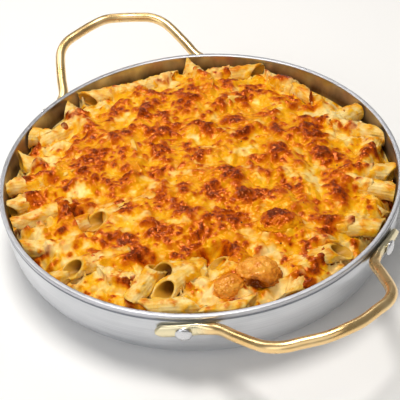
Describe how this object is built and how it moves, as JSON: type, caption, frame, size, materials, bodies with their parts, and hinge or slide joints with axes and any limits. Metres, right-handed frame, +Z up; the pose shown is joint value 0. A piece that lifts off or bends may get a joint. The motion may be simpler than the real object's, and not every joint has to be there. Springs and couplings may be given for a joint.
{
  "type": "baked pasta",
  "caption": "Baked penne under a browned melted cheese crust with mushroom pieces on top, in its round shallow metal pan with riveted brass loop handles.",
  "frame": {"origin": "middle of the pan's flat base, where the dish stands", "axes": "+Z up, X through the middle of the near handle, which is on +X, Y across; the far handle sits 3.6 degrees off -X"},
  "size_m": [0.3566, 0.26, 0.0607],
  "materials": {
    "pan_metal": "satin light grey outside with a bright polished rim, stained warm by baking inside above the filling",
    "handle_brass": "polished yellow brass, paler on the flattened ends",
    "rivet_steel": "plain bright rivet heads",
    "baked_cheese_pasta": null,
    "browned_mushroom": null
  },
  "bodies": {
    "root": {"pan": "pan_metal", "handle_near": "handle_brass", "handle_far": "handle_brass", "rivet_near_left": "rivet_steel", "rivet_near_right": "rivet_steel", "rivet_far_left": "rivet_steel", "rivet_far_right": "rivet_steel", "baked_penne": "baked_cheese_pasta", "mushroom_cap": "browned_mushroom", "mushroom_stem": "browned_mushroom", "browned_lump": "browned_mushroom"}
  },
  "joints": []
}
